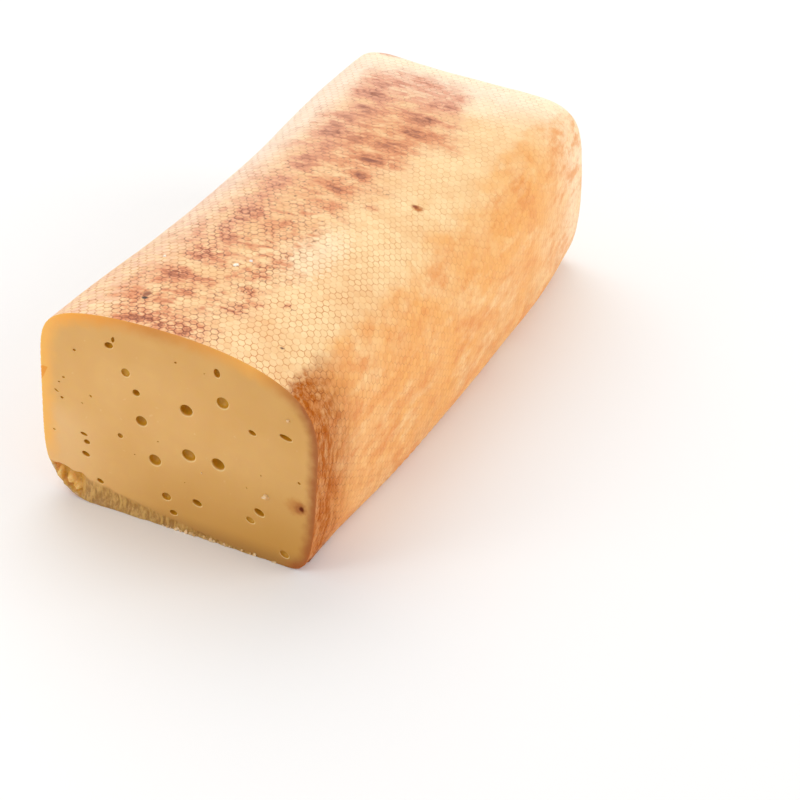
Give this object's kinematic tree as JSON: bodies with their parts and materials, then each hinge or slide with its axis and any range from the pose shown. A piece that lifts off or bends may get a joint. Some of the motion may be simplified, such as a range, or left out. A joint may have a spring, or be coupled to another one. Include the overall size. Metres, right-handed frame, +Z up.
{
  "type": "smoked cheese loaf",
  "caption": "Long block of smoked semi-hard cheese with a domed top, a browned net-marked rind and one cut end that shows small round eyes.",
  "frame": {"origin": "on the base plane, under the middle of the loaf's box", "axes": "+Y along the loaf's length from the cut face to the rounded far end, +X across its width, +Z up"},
  "size_m": [0.132, 0.2972, 0.0905],
  "materials": {
    "cheese": "satin, slightly oily rind; matte pale yellow cut face"
  },
  "bodies": {
    "root": {"cheese_loaf": "cheese"}
  },
  "joints": []
}
